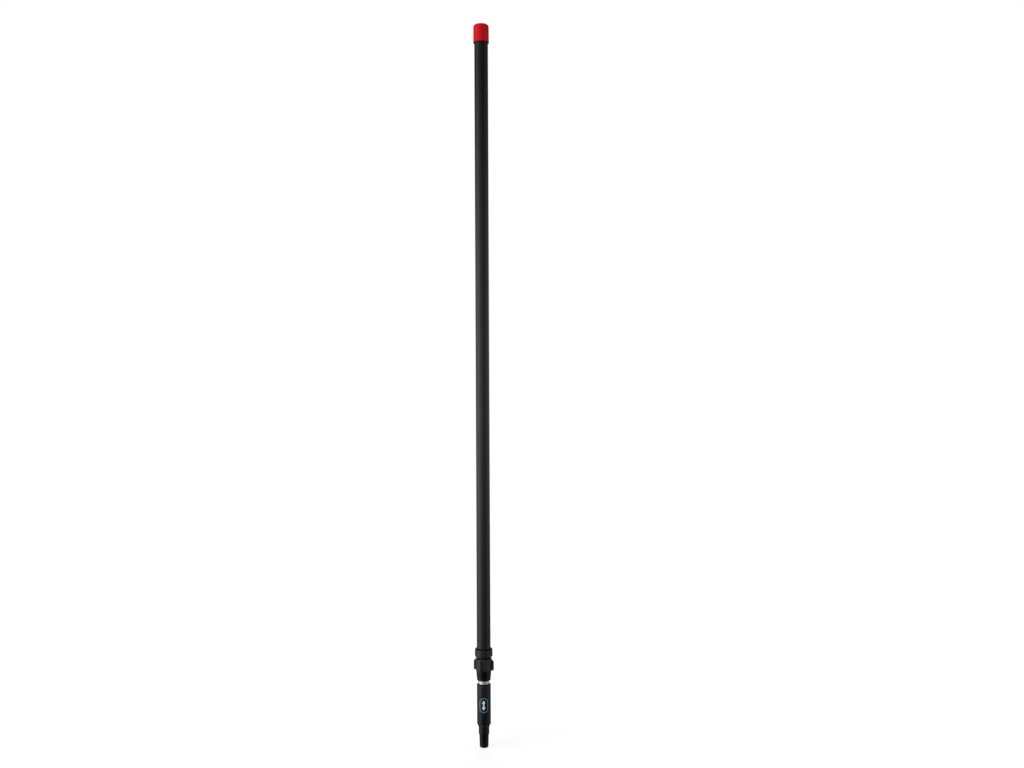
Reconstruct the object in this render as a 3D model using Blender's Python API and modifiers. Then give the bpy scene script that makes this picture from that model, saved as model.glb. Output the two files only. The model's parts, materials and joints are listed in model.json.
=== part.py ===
"""Telescopic extension pole for a paint roller: two tubes, a twist clamp and a push-on tool cone.

Frame: metres, +Z along the pole. The origin is the centre of the tool cone's flat end, the red end
cap is at the top, and -Y is the front. The pole is closed, with its clamp nut tight. The inner
stage carries the tool, and the outer stage with the clamp slides and turns on it.
"""

import math

import bmesh
import bpy
from mathutils import Matrix

FIT = 0.0003  # clearance between pieces that touch
SEGMENTS = 40  # round the visible pieces
INNER_SEGMENTS = 32  # round the pieces inside
PIN_SEGMENTS = 16

# Tubes
OUTER_RADIUS = 0.016
OUTER_WALL = 0.0015
OUTER_BORE = OUTER_RADIUS - OUTER_WALL
OUTER_BOTTOM = 0.2133
OUTER_TOP = 1.6765
INNER_RADIUS = 0.0127
INNER_WALL = 0.0012
INNER_BORE = INNER_RADIUS - INNER_WALL
INNER_BOTTOM = 0.0525
INNER_TOP = 1.655
ON_INNER = INNER_RADIUS + FIT  # bore of whatever slides or sits on the inner tube
ON_OUTER = OUTER_RADIUS + FIT

# Telescoping
TRAVEL = 1.2
TRAVEL_GAP = 0.0005  # left between the lower guide bush and the clamp body at full length

# Tool cone, pushed into the inner tube
CONE_TIP_RADIUS = 0.0102
CONE_TIP_ROUNDING = 0.0027
CONE_TOP_RADIUS = 0.01115
CONE_STEP_Z = 0.0312
CONE_STEP_EDGE = 0.0003
CONE_COLLAR_RADIUS = 0.01227
CONE_SHANK_RADIUS = INNER_BORE - FIT
CONE_SHANK_TOP = 0.096
CONE_CORE_RADIUS = 0.0082
CONE_CORE_BOTTOM = 0.012

# Sleeve round the lower end of the inner tube
SLEEVE_TOP_RADIUS = 0.01615
SLEEVE_LOW_RADIUS = 0.01603
SLEEVE_TOP = 0.148
SLEEVE_TOP_ROUNDING = 0.0025
SLEEVE_CHAMFER_TOP = 0.055
SLEEVE_BOTTOM = 0.0492
SLEEVE_END_RADIUS = CONE_COLLAR_RADIUS + 2 * FIT
RIVET_HEIGHTS = {"sleeve_rivet_upper": 0.086, "sleeve_rivet_lower": 0.066}

# Guide bushes and plug at the upper end of the inner tube
BUSH_RADIUS = OUTER_BORE - FIT
BUSH_LENGTH = 0.03
BUSH_EDGE = 0.0006
PLUG_HEAD = 0.003
PLUG_DEPTH = 0.018
PLUG_CORE_RADIUS = 0.008

# Clamp body, fixed to the lower end of the outer tube
FLANGE_RADIUS = 0.02056
FLANGE_TOP = 0.2245
FLANGE_BOTTOM = 0.2116
FLANGE_ROUNDING = 0.0015
COLLAR_RADIUS = 0.018
COLLAR_TOP = 0.228
NECK_RADIUS = 0.01725
NECK_BOTTOM = 0.208
BODY_BOTTOM = 0.184
BODY_LEDGE = OUTER_BOTTOM - FIT
BODY_PIN_Z = 0.2262

# Cover ring over the joint between the clamp body and the outer tube
COVER_TOP = 0.23
COVER_ROUNDING = 0.003
COVER_EDGE = 0.0003

# Clamp thread, right-handed
THREAD_PITCH = 0.004
THREAD_CORE = 0.0153
THREAD_TIP = 0.0164
THREAD_ROOT_WIDTH = 0.002
THREAD_TIP_WIDTH = 0.001
THREAD_BOTTOM = 0.1862
THREAD_TURNS = 3.5
THREAD_STEPS = 24  # in each turn
THREAD_START = math.radians(5)  # clear of the turned pieces' own edges
THREAD_GAP = 0.00035
THREAD_SINK = 0.0003  # how far the ridge's base reaches into the core

# Clamp nut
NUT_TOP = NECK_BOTTOM - FIT
NUT_BARREL_RADIUS = 0.0189
NUT_BARREL_BOTTOM = 0.1796
NUT_NOSE_TOP_RADIUS = 0.0173
NUT_NOSE_RADIUS = 0.0158
NUT_BOTTOM = 0.1555
NUT_NOSE_ROUNDING = 0.0025
NUT_FLOOR = 0.1682
NUT_POCKET_RADIUS = 0.0155
NUT_BORE = THREAD_CORE + THREAD_GAP
RIB_COUNT = 4
RIB_RADIUS = 0.0242
RIB_WIDTH = 0.003
RIB_SHOULDER_Z = 0.2008  # where a rib's sloping shoulder meets its outer edge
RIB_SINK = 0.0004  # a rib's shoulder lies this far under the line of the barrel's own
FRONT_RIB_ANGLE = math.radians(-106)

# Collet, wedge ring and wiper seal inside the nut
COLLET_TOP = BODY_BOTTOM - FIT
COLLET_TOP_RADIUS = 0.01415
COLLET_LOW_RADIUS = 0.0137
COLLET_SPLIT = 0.0016
COLLET_SLOT = 0.0012
COLLET_SLOTS = 6
COLLET_SLOT_TOP = 0.1795
WEDGE_RADIUS = NUT_POCKET_RADIUS - FIT
WEDGE_BOTTOM = NUT_FLOOR + FIT
WEDGE_TOP = COLLET_TOP - FIT
SEAL_GROOVE_RADIUS = 0.0146
SEAL_GROOVE_BOTTOM = 0.1588
SEAL_GROOVE_TOP = 0.1636

# End cap
CAP_TOP = 1.6816
CAP_BOTTOM = 1.6395
CAP_TOP_RADIUS = 0.01795
CAP_LIP_RADIUS = 0.01845
CAP_ROUNDING = 0.005
CAP_LIP_EDGE = 0.0005

# Rivets and pins
RIVET_RADIUS = 0.0016
RIVET_HEAD_RADIUS = 0.003
RIVET_HEAD_HEIGHT = 0.0012
RIVET_TAIL_RADIUS = 0.0022
RIVET_TAIL_OUT = 0.0075
RIVET_TAIL_IN = 0.0055
PIN_RADIUS = 0.0014


def clear_scene():
    for obj in list(bpy.data.objects):
        bpy.data.objects.remove(obj, do_unlink=True)


def new_collection(name):
    made = bpy.data.collections.new(name)
    bpy.context.scene.collection.children.link(made)
    return made


def new_material(name, colour, roughness, metallic=0.0):
    made = bpy.data.materials.new(name)
    made.use_nodes = True
    surface = made.node_tree.nodes["Principled BSDF"]
    surface.inputs["Base Color"].default_value = (*colour, 1)
    surface.inputs["Roughness"].default_value = roughness
    surface.inputs["Metallic"].default_value = metallic
    return made


def arc(centre, radius, start, end, steps):
    """Points of an arc in the (radius, height) plane, with angles in degrees from the +radius side."""
    angles = [math.radians(start + (end - start) * i / steps) for i in range(steps + 1)]
    return [(centre[0] + radius * math.cos(a), centre[1] + radius * math.sin(a)) for a in angles]


def add_object(name, mesh, material, collection):
    obj = bpy.data.objects.new(name, mesh)
    collection.objects.link(obj)
    if material:
        mesh.materials.append(material)
    return obj


def turned(name, profile, material, collection, segments=SEGMENTS, closed=True):
    """A turned piece. The profile runs down its outer side and, if closed, up its bore."""
    mesh = bpy.data.meshes.new(name)
    edges = [(i, i + 1) for i in range(len(profile) - 1)]
    if closed:
        edges.append((len(profile) - 1, 0))
    mesh.from_pydata([(r, 0, z) for r, z in profile], edges, [])
    obj = add_object(name, mesh, material, collection)
    screw = obj.modifiers.new("Turn", "SCREW")
    screw.steps = segments
    screw.render_steps = segments
    screw.use_merge_vertices = True
    screw.merge_threshold = 0.00001
    screw.use_smooth_shade = True
    return obj


def hide_cutter(cutter):
    cutter.hide_render = True
    cutter.display_type = "WIRE"


def combine(target, other, operation):
    boolean = target.modifiers.new(other.name, "BOOLEAN")
    boolean.operation = operation
    boolean.object = other
    hide_cutter(other)


def box_cutter(name, size, centre, angle, cutters):
    """A box whose centre is turned about the Z axis by the angle."""
    mesh = bpy.data.meshes.new(name)
    shape = bmesh.new()
    bmesh.ops.create_cube(shape, size=1, matrix=Matrix.Translation(centre) @ Matrix.Diagonal((*size, 1)))
    bmesh.ops.rotate(shape, verts=shape.verts, cent=(0, 0, 0), matrix=Matrix.Rotation(angle, 3, "Z"))
    shape.to_mesh(mesh)
    shape.free()
    return add_object(name, mesh, None, cutters)


def radial_hole(name, inner, outer, radius, height, angle, cutters):
    """A round cutter that points away from the pole's axis at the angle."""
    mesh = bpy.data.meshes.new(name)
    shape = bmesh.new()
    bmesh.ops.create_cone(
        shape, cap_ends=True, segments=PIN_SEGMENTS, radius1=radius, radius2=radius, depth=outer - inner,
        matrix=Matrix.Translation((0, 0, (inner + outer) / 2)),
    )
    shape.to_mesh(mesh)
    shape.free()
    obj = add_object(name, mesh, None, cutters)
    point_outward(obj, height, angle)
    return obj


def point_outward(obj, height, angle):
    """Turns a piece made along +Z so that it points away from the pole's axis."""
    obj.location = (0, 0, height)
    obj.rotation_euler = (0, math.pi / 2, angle)


def helix(name, section, turns, start_z, cutters):
    """A closed right-handed thread ridge with the section swept up along the Z axis."""
    mesh = bpy.data.meshes.new(name)
    shape = bmesh.new()
    corners = [shape.verts.new((r, 0, z + start_z)) for r, z in section]
    edges = [shape.edges.new((a, b)) for a, b in zip(corners, corners[1:] + corners[:1])]
    steps = round(turns * THREAD_STEPS)
    bmesh.ops.spin(
        shape, geom=corners + edges, cent=(0, 0, 0), axis=(0, 0, 1), angle=math.tau * turns,
        steps=steps, dvec=(0, 0, turns * THREAD_PITCH / steps),
    )
    open_ends = [edge for edge in shape.edges if edge.is_boundary]
    bmesh.ops.holes_fill(shape, edges=open_ends, sides=0)
    bmesh.ops.recalc_face_normals(shape, faces=shape.faces)
    bmesh.ops.rotate(
        shape, verts=shape.verts, cent=(0, 0, 0), matrix=Matrix.Rotation(THREAD_START, 3, "Z")
    )
    shape.to_mesh(mesh)
    shape.free()
    return add_object(name, mesh, None, cutters)


def tube(name, radius, bore, bottom, top, material, parts):
    profile = [(radius, top), (radius, bottom), (bore, bottom), (bore, top)]
    return turned(name, profile, material, parts)


def make_tool_cone(material, parts, cutters):
    tip_centre = (CONE_TIP_RADIUS - CONE_TIP_ROUNDING, CONE_TIP_ROUNDING)
    shoulder = INNER_BOTTOM - FIT
    profile = [
        (0, CONE_CORE_BOTTOM),
        (CONE_CORE_RADIUS, CONE_CORE_BOTTOM),
        (CONE_CORE_RADIUS, CONE_SHANK_TOP),
        (CONE_SHANK_RADIUS, CONE_SHANK_TOP),
        (CONE_SHANK_RADIUS, shoulder),
        (CONE_COLLAR_RADIUS, shoulder),
        (CONE_COLLAR_RADIUS, CONE_STEP_Z + CONE_STEP_EDGE),
        (CONE_COLLAR_RADIUS - CONE_STEP_EDGE, CONE_STEP_Z),
        (CONE_TOP_RADIUS, CONE_STEP_Z),
        *arc(tip_centre, CONE_TIP_ROUNDING, 0, -90, 4),
        (0, 0),
    ]
    cone = turned("tool_cone", profile, material, parts, closed=False)
    for name, height in RIVET_HEIGHTS.items():
        hole = radial_hole(
            f"cut_cone_{name}", CONE_CORE_RADIUS - 0.002, CONE_SHANK_RADIUS + 0.002,
            RIVET_RADIUS + FIT, height, math.pi / 2, cutters,
        )
        combine(cone, hole, "DIFFERENCE")


def make_tool_sleeve(material, parts, cutters):
    top_centre = (SLEEVE_TOP_RADIUS - SLEEVE_TOP_ROUNDING, SLEEVE_TOP - SLEEVE_TOP_ROUNDING)
    floor = INNER_BOTTOM - FIT
    profile = [
        *arc(top_centre, SLEEVE_TOP_ROUNDING, 90, 0, 4),
        (SLEEVE_LOW_RADIUS, SLEEVE_CHAMFER_TOP),
        (SLEEVE_END_RADIUS, SLEEVE_BOTTOM),
        (CONE_COLLAR_RADIUS + FIT, SLEEVE_BOTTOM),
        (CONE_COLLAR_RADIUS + FIT, floor),
        (ON_INNER, floor),
        (ON_INNER, SLEEVE_TOP),
    ]
    sleeve = turned("tool_sleeve", profile, material, parts)
    for name, height in RIVET_HEIGHTS.items():
        hole = radial_hole(
            f"cut_sleeve_{name}", INNER_RADIUS - 0.001, SLEEVE_TOP_RADIUS + 0.002,
            RIVET_RADIUS + FIT, height, math.pi / 2, cutters,
        )
        combine(sleeve, hole, "DIFFERENCE")


def make_sleeve_rivets(material, parts):
    """Rivets from the back of the sleeve through the tube and the cone's shank."""
    seat = SLEEVE_TOP_RADIUS + FIT
    profile = [
        (0, seat + RIVET_HEAD_HEIGHT),
        (RIVET_HEAD_RADIUS * 0.55, seat + RIVET_HEAD_HEIGHT * 0.85),
        (RIVET_HEAD_RADIUS, seat + RIVET_HEAD_HEIGHT * 0.25),
        (RIVET_HEAD_RADIUS, seat),
        (RIVET_RADIUS, seat),
        (RIVET_RADIUS, RIVET_TAIL_OUT),
        (RIVET_TAIL_RADIUS, RIVET_TAIL_OUT),
        (RIVET_TAIL_RADIUS, RIVET_TAIL_IN),
        (0, RIVET_TAIL_IN),
    ]
    for name, height in RIVET_HEIGHTS.items():
        rivet = turned(name, profile, material, parts, PIN_SEGMENTS, closed=False)
        point_outward(rivet, height, math.pi / 2)


def make_inner_tube(material, parts, cutters, pin_heights):
    inner = tube("inner_tube", INNER_RADIUS, INNER_BORE, INNER_BOTTOM, INNER_TOP, material, parts)
    holes = [(height, math.pi / 2, RIVET_RADIUS) for height in RIVET_HEIGHTS.values()]
    holes += [(height, 0, PIN_RADIUS) for height in pin_heights.values()]
    for height, angle, radius in holes:
        hole = radial_hole(
            f"cut_tube_{height:.3f}", INNER_BORE - 0.001, INNER_RADIUS + 0.001,
            radius + FIT, height, angle, cutters,
        )
        combine(inner, hole, "DIFFERENCE")


def make_guide_bush(name, bottom, pin_height, material, parts, cutters):
    top = bottom + BUSH_LENGTH
    profile = [
        (BUSH_RADIUS - BUSH_EDGE, top),
        (BUSH_RADIUS, top - BUSH_EDGE),
        (BUSH_RADIUS, bottom + BUSH_EDGE),
        (BUSH_RADIUS - BUSH_EDGE, bottom),
        (ON_INNER, bottom),
        (ON_INNER, top),
    ]
    bush = turned(name, profile, material, parts, INNER_SEGMENTS)
    hole = radial_hole(
        f"cut_{name}", INNER_RADIUS - 0.001, BUSH_RADIUS + 0.001, PIN_RADIUS + FIT, pin_height, 0, cutters
    )
    combine(bush, hole, "DIFFERENCE")


def make_pin(name, inner, outer, height, angle, material, parts):
    profile = [(0, outer), (PIN_RADIUS, outer), (PIN_RADIUS, inner), (0, inner)]
    pin = turned(name, profile, material, parts, PIN_SEGMENTS, closed=False)
    point_outward(pin, height, angle)


def make_inner_tube_plug(material, parts):
    seat = INNER_TOP + FIT
    profile = [
        (0, seat - PLUG_DEPTH + PLUG_HEAD),
        (PLUG_CORE_RADIUS, seat - PLUG_DEPTH + PLUG_HEAD),
        (PLUG_CORE_RADIUS, seat + PLUG_HEAD),
        (INNER_RADIUS - BUSH_EDGE, seat + PLUG_HEAD),
        (INNER_RADIUS, seat + PLUG_HEAD - BUSH_EDGE),
        (INNER_RADIUS, seat),
        (INNER_BORE - FIT, seat),
        (INNER_BORE - FIT, seat - PLUG_DEPTH),
        (0, seat - PLUG_DEPTH),
    ]
    turned("inner_tube_plug", profile, material, parts, INNER_SEGMENTS, closed=False)


def make_outer_tube(material, parts, cutters):
    outer = tube("outer_tube", OUTER_RADIUS, OUTER_BORE, OUTER_BOTTOM, OUTER_TOP, material, parts)
    for side, angle in (("right", 0), ("left", math.pi)):
        hole = radial_hole(
            f"cut_outer_tube_{side}", OUTER_BORE - 0.001, OUTER_RADIUS + 0.001,
            PIN_RADIUS + FIT, BODY_PIN_Z, angle, cutters,
        )
        combine(outer, hole, "DIFFERENCE")


def make_end_cap(material, parts):
    crown = (CAP_TOP_RADIUS - CAP_ROUNDING, CAP_TOP - CAP_ROUNDING)
    profile = [
        (0, CAP_TOP),
        *arc(crown, CAP_ROUNDING, 90, 0, 6),
        (CAP_LIP_RADIUS, CAP_BOTTOM + CAP_LIP_EDGE),
        (CAP_LIP_RADIUS - CAP_LIP_EDGE, CAP_BOTTOM),
        (ON_OUTER, CAP_BOTTOM),
        (ON_OUTER, OUTER_TOP + FIT),
        (0, OUTER_TOP + FIT),
    ]
    turned("end_cap", profile, material, parts, closed=False)


def thread_section(gap):
    """The ridge's outline, grown by the gap on its tip and both flanks, and sunk into its base."""
    slope = (THREAD_ROOT_WIDTH - THREAD_TIP_WIDTH) / 2 / (THREAD_TIP - THREAD_CORE)
    base = THREAD_CORE - THREAD_SINK
    tip = THREAD_TIP + gap
    half_base = THREAD_ROOT_WIDTH / 2 + THREAD_SINK * slope + gap
    half_tip = THREAD_TIP_WIDTH / 2 - gap * slope + gap
    return [(base, half_base), (tip, half_tip), (tip, -half_tip), (base, -half_base)]


def make_clamp_body(material, parts, cutters):
    edge_centre = (FLANGE_RADIUS - FLANGE_ROUNDING, FLANGE_BOTTOM + FLANGE_ROUNDING)
    profile = [
        (COLLAR_RADIUS, COLLAR_TOP),
        (COLLAR_RADIUS, FLANGE_TOP),
        (FLANGE_RADIUS, FLANGE_TOP),
        *arc(edge_centre, FLANGE_ROUNDING, 0, -90, 3),
        (NECK_RADIUS, FLANGE_BOTTOM),
        (NECK_RADIUS, NECK_BOTTOM),
        (THREAD_CORE, NECK_BOTTOM),
        (THREAD_CORE, BODY_BOTTOM),
        (ON_INNER, BODY_BOTTOM),
        (ON_INNER, BODY_LEDGE),
        (ON_OUTER, BODY_LEDGE),
        (ON_OUTER, COLLAR_TOP),
    ]
    body = turned("clamp_body", profile, material, parts)
    ridge = helix("add_body_thread", thread_section(0), THREAD_TURNS, THREAD_BOTTOM, cutters)
    combine(body, ridge, "UNION")
    for side, angle in (("right", 0), ("left", math.pi)):
        hole = radial_hole(
            f"cut_clamp_body_{side}", OUTER_RADIUS - 0.001, COLLAR_RADIUS + 0.001,
            PIN_RADIUS + FIT, BODY_PIN_Z, angle, cutters,
        )
        combine(body, hole, "DIFFERENCE")


def make_cover_ring(material, parts):
    top_centre = (FLANGE_RADIUS - COVER_ROUNDING, COVER_TOP - COVER_ROUNDING)
    bottom = FLANGE_TOP + FIT
    profile = [
        *arc(top_centre, COVER_ROUNDING, 90, 0, 5),
        (FLANGE_RADIUS, bottom + COVER_EDGE),
        (FLANGE_RADIUS - COVER_EDGE, bottom),
        (COLLAR_RADIUS + FIT, bottom),
        (COLLAR_RADIUS + FIT, COLLAR_TOP + FIT),
        (ON_OUTER, COLLAR_TOP + FIT),
        (ON_OUTER, COVER_TOP),
    ]
    turned("cover_ring", profile, material, parts)


def make_rib(name, angle, cutters):
    """A grip rib of the nut: an upright plate with a 45 degree shoulder, sunk into the barrel."""
    root = NUT_BARREL_RADIUS - 0.001
    shoulder = RIB_RADIUS + RIB_SHOULDER_Z - RIB_SINK
    outline = [
        (root, NUT_BARREL_BOTTOM),
        (RIB_RADIUS, NUT_BARREL_BOTTOM),
        (RIB_RADIUS, shoulder - RIB_RADIUS),
        (root, shoulder - root),
    ]
    mesh = bpy.data.meshes.new(name)
    shape = bmesh.new()
    corners = [shape.verts.new((r, -RIB_WIDTH / 2, z)) for r, z in outline]
    side = shape.faces.new(corners)
    made = bmesh.ops.extrude_face_region(shape, geom=[side])
    moved = [item for item in made["geom"] if isinstance(item, bmesh.types.BMVert)]
    bmesh.ops.translate(shape, verts=moved, vec=(0, RIB_WIDTH, 0))
    bmesh.ops.rotate(shape, verts=shape.verts, cent=(0, 0, 0), matrix=Matrix.Rotation(angle, 3, "Z"))
    bmesh.ops.recalc_face_normals(shape, faces=shape.faces)
    shape.to_mesh(mesh)
    shape.free()
    return add_object(name, mesh, None, cutters)


def make_clamp_nut(material, parts, cutters):
    shoulder = NUT_BARREL_RADIUS - NECK_RADIUS
    nose_centre = (NUT_NOSE_RADIUS - NUT_NOSE_ROUNDING, NUT_BOTTOM + NUT_NOSE_ROUNDING)
    profile = [
        (NECK_RADIUS, NUT_TOP),
        (NUT_BARREL_RADIUS, NUT_TOP - shoulder),
        (NUT_BARREL_RADIUS, NUT_BARREL_BOTTOM),
        (NUT_NOSE_TOP_RADIUS, NUT_BARREL_BOTTOM),
        *arc(nose_centre, NUT_NOSE_ROUNDING, 0, -90, 4),
        (ON_INNER, NUT_BOTTOM),
        (ON_INNER, SEAL_GROOVE_BOTTOM),
        (SEAL_GROOVE_RADIUS, SEAL_GROOVE_BOTTOM),
        (SEAL_GROOVE_RADIUS, SEAL_GROOVE_TOP),
        (ON_INNER, SEAL_GROOVE_TOP),
        (ON_INNER, NUT_FLOOR),
        (NUT_POCKET_RADIUS, NUT_FLOOR),
        (NUT_POCKET_RADIUS, BODY_BOTTOM + 2 * FIT),
        (NUT_BORE, BODY_BOTTOM + 2 * FIT),
        (NUT_BORE, NUT_TOP),
    ]
    nut = turned("clamp_nut", profile, material, parts)
    for i in range(RIB_COUNT):
        rib = make_rib(f"add_rib_{i + 1}", FRONT_RIB_ANGLE + i * math.tau / RIB_COUNT, cutters)
        combine(nut, rib, "UNION")
    turns_to_top = math.ceil((NUT_TOP - THREAD_BOTTOM) / THREAD_PITCH) + 1
    groove = helix("cut_nut_thread", thread_section(THREAD_GAP), turns_to_top, THREAD_BOTTOM, cutters)
    combine(nut, groove, "DIFFERENCE")


def make_collet(material, parts, cutters):
    """A split sleeve with tapered fingers, which the wedge ring squeezes on to the inner tube."""
    bottom = WEDGE_BOTTOM
    profile = [
        (COLLET_TOP_RADIUS, COLLET_TOP),
        (COLLET_LOW_RADIUS, bottom),
        (ON_INNER, bottom),
        (ON_INNER, COLLET_TOP),
    ]
    collet = turned("collet", profile, material, parts, INNER_SEGMENTS)
    reach = COLLET_TOP_RADIUS + 0.002
    for i in range(COLLET_SLOTS):
        width = COLLET_SLOT if i else COLLET_SPLIT
        top = COLLET_SLOT_TOP if i else COLLET_TOP + 0.002
        low = bottom - 0.002
        centre = ((INNER_BORE + reach) / 2, 0, (top + low) / 2)
        size = (reach - INNER_BORE, width, top - low)
        slot = box_cutter(f"cut_collet_{i + 1}", size, centre, math.tau * (i + 0.5) / COLLET_SLOTS, cutters)
        combine(collet, slot, "DIFFERENCE")


def make_wedge_ring(material, parts):
    taper = (COLLET_TOP_RADIUS - COLLET_LOW_RADIUS) / (COLLET_TOP - WEDGE_BOTTOM)
    low_bore = COLLET_LOW_RADIUS + FIT
    profile = [
        (WEDGE_RADIUS, WEDGE_TOP),
        (WEDGE_RADIUS, WEDGE_BOTTOM),
        (low_bore, WEDGE_BOTTOM),
        (low_bore + taper * (WEDGE_TOP - WEDGE_BOTTOM), WEDGE_TOP),
    ]
    turned("wedge_ring", profile, material, parts, INNER_SEGMENTS)


def make_wiper_seal(material, parts):
    top = SEAL_GROOVE_TOP - FIT
    bottom = SEAL_GROOVE_BOTTOM + FIT
    radius = SEAL_GROOVE_RADIUS - FIT
    profile = [(radius, top), (radius, bottom), (ON_INNER, bottom), (ON_INNER, top)]
    turned("wiper_seal", profile, material, parts, INNER_SEGMENTS)


def main():
    clear_scene()
    parts = new_collection("roller_extension_pole")
    cutters = new_collection("cutters")
    black_tube = new_material("black_coated_aluminium", (0.018, 0.018, 0.02), 0.35, 0.5)
    bare_tube = new_material("bare_aluminium", (0.62, 0.63, 0.64), 0.3, 1.0)
    black_plastic = new_material("black_nylon", (0.014, 0.014, 0.016), 0.45)
    red_plastic = new_material("red_polypropylene", (0.42, 0.011, 0.018), 0.4)
    pale_plastic = new_material("natural_acetal", (0.72, 0.71, 0.67), 0.4)
    dark_rubber = new_material("black_rubber", (0.02, 0.02, 0.02), 0.8)
    rivet_metal = new_material("rivet_aluminium", (0.55, 0.55, 0.56), 0.35, 1.0)
    pin_steel = new_material("pin_steel", (0.45, 0.45, 0.46), 0.35, 1.0)

    lower_bush_bottom = BODY_LEDGE + TRAVEL + TRAVEL_GAP
    upper_bush_bottom = INNER_TOP - BUSH_LENGTH
    bush_bottoms = {"lower": lower_bush_bottom, "upper": upper_bush_bottom}
    pin_heights = {end: bottom + BUSH_LENGTH / 3 for end, bottom in bush_bottoms.items()}

    make_tool_cone(black_plastic, parts, cutters)
    make_tool_sleeve(black_plastic, parts, cutters)
    make_sleeve_rivets(rivet_metal, parts)
    make_inner_tube(bare_tube, parts, cutters, pin_heights)
    for end, bottom in bush_bottoms.items():
        height = pin_heights[end]
        make_guide_bush(f"guide_bush_{end}", bottom, height, pale_plastic, parts, cutters)
        make_pin(
            f"bush_pin_{end}", INNER_BORE - PIN_RADIUS / 2, BUSH_RADIUS - FIT, height, 0, pin_steel, parts
        )
    make_inner_tube_plug(black_plastic, parts)

    make_outer_tube(black_tube, parts, cutters)
    make_end_cap(red_plastic, parts)
    make_clamp_body(black_plastic, parts, cutters)
    make_cover_ring(black_plastic, parts)
    for side, angle in (("right", 0), ("left", math.pi)):
        make_pin(
            f"body_pin_{side}", OUTER_BORE + FIT / 2, COLLAR_RADIUS - FIT / 3, BODY_PIN_Z, angle,
            pin_steel, parts,
        )

    make_collet(pale_plastic, parts, cutters)
    make_wedge_ring(black_plastic, parts)
    make_clamp_nut(black_plastic, parts, cutters)
    make_wiper_seal(dark_rubber, parts)


main()
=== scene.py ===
"""Looks of a telescopic roller extension pole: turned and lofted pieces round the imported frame."""
import json
import math

import bmesh
import bpy
from mathutils import Matrix, Vector


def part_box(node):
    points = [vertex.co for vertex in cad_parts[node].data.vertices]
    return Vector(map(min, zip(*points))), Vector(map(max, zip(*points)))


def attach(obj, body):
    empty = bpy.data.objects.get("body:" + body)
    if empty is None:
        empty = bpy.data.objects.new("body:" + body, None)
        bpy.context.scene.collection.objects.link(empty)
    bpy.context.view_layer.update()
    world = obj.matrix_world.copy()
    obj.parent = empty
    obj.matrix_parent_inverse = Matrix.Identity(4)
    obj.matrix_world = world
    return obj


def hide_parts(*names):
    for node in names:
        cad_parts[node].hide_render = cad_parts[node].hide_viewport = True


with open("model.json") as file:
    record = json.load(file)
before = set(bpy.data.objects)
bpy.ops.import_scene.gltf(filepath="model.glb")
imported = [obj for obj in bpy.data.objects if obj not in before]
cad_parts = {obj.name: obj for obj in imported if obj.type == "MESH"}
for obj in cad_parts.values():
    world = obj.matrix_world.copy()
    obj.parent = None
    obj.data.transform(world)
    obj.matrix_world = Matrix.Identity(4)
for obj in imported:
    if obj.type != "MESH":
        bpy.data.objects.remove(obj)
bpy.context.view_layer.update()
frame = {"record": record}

MM = 0.001
FINE = 128  # segments round a large visible piece
MEDIUM = 64
SMALL = 32
FIT = 0.3 * MM  # gap between pieces that touch on the real pole
GUARD = 0.35  # a support ring stands this many fillet radii from each fillet
SMOOTH_BELOW = math.radians(35)  # faces that meet at a smaller angle than this are shaded as one

RECORD = frame["record"]
BODY_OF = {node: body for body, nodes in RECORD["behaviour"]["bodies"].items() for node in nodes}


# ---------------------------------------------------------------- shapes

def span(node):
    """(largest radius, lowest z, highest z) of a piece that is round about the pole's axis."""
    low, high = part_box(node)
    return high.x, low.z, high.z


def centre_height(node):
    low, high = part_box(node)
    return (low.z + high.z) / 2


def rounded(corners, closed=True, steps=5):
    """Points of an outline whose corners (radius, z, fillet) are rounded by arcs.

    Each long side also gets a point close to the arc, so that the shading bends only in the fillet.
    """
    points = []
    for i, (r, z, fillet) in enumerate(corners):
        here = Vector((r, z))
        if not fillet or (not closed and i in (0, len(corners) - 1)):
            points.append(here)
            continue
        before = Vector(corners[i - 1][:2]) - here
        after = Vector(corners[(i + 1) % len(corners)][:2]) - here
        half = before.angle(after) / 2
        reach = fillet / math.tan(half)
        inwards = (before.normalized() + after.normalized()).normalized()
        centre = here + inwards * fillet / math.sin(half)
        start = here + before.normalized() * reach
        end = here + after.normalized() * reach
        first = math.atan2(*reversed(start - centre))
        sweep = math.remainder(math.atan2(*reversed(end - centre)) - first, math.tau)
        if before.length > reach * 1.5:
            support = min(GUARD * fillet, (before.length - reach) / 3)
            points.append(start + before.normalized() * support)
        for step in range(steps + 1):
            turn = first + sweep * step / steps
            points.append(centre + fillet * Vector((math.cos(turn), math.sin(turn))))
        if after.length > reach * 1.5:
            support = min(GUARD * fillet, (after.length - reach) / 3)
            points.append(end + after.normalized() * support)
    return points


def new_piece(name, shape):
    """Turns a bmesh into an object of the scene, shaded smooth but for its edges."""
    bmesh.ops.remove_doubles(shape, verts=shape.verts, dist=1e-7)
    bmesh.ops.recalc_face_normals(shape, faces=shape.faces)
    mesh = bpy.data.meshes.new(name)
    shape.to_mesh(mesh)
    shape.free()
    mesh.shade_smooth()
    mesh.set_sharp_from_angle(angle=SMOOTH_BELOW)
    obj = bpy.data.objects.new(name, mesh)
    bpy.context.scene.collection.objects.link(obj)
    return obj


def turned(name, outline, segments=FINE, closed=True):
    """A turned piece: the outline of (radius, z) points spun about the Z axis."""
    shape = bmesh.new()
    verts = [shape.verts.new((point[0], 0, point[1])) for point in outline]
    pairs = list(zip(verts, verts[1:]))
    if closed:
        pairs.append((verts[-1], verts[0]))
    edges = [shape.edges.new(pair) for pair in pairs]
    bmesh.ops.spin(
        shape, geom=verts + edges, cent=(0, 0, 0), axis=(0, 0, 1), angle=math.tau, steps=segments
    )
    return new_piece(name, shape)


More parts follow.
